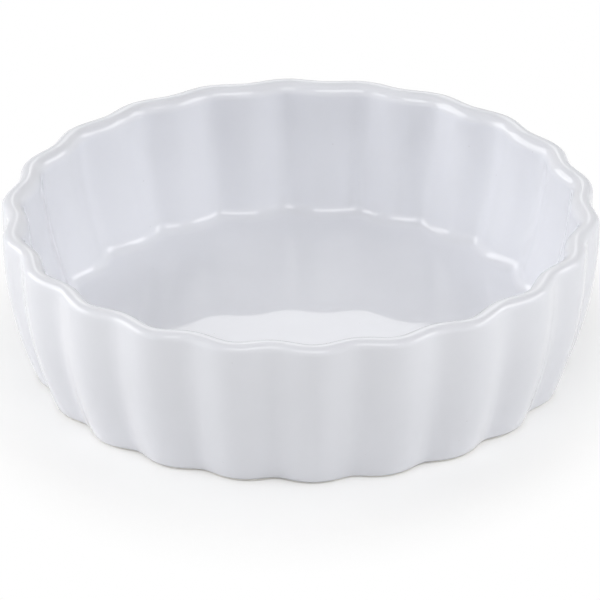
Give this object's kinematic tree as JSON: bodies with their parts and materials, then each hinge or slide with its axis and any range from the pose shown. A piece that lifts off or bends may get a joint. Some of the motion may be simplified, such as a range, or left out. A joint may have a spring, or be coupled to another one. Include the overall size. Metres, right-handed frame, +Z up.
{
  "type": "fluted quiche dish",
  "caption": "Round fluted porcelain quiche dish: an open baking dish with a steep scalloped wall, a rounded lip, a flat floor, a glossy white glaze and a bare foot ring.",
  "frame": {"origin": "middle of the bare foot ring, on the surface that the dish stands on", "axes": "+Z up along the dish's own axis; +X through a crest of the flutes, and with their even number -X too"},
  "size_m": [0.14, 0.139, 0.039],
  "materials": {
    "glaze": "glossy",
    "bisque": "matte"
  },
  "bodies": {
    "root": {"porcelain_body": "bisque", "glaze_coat": "glaze", "underside_glaze": "glaze"}
  },
  "joints": []
}
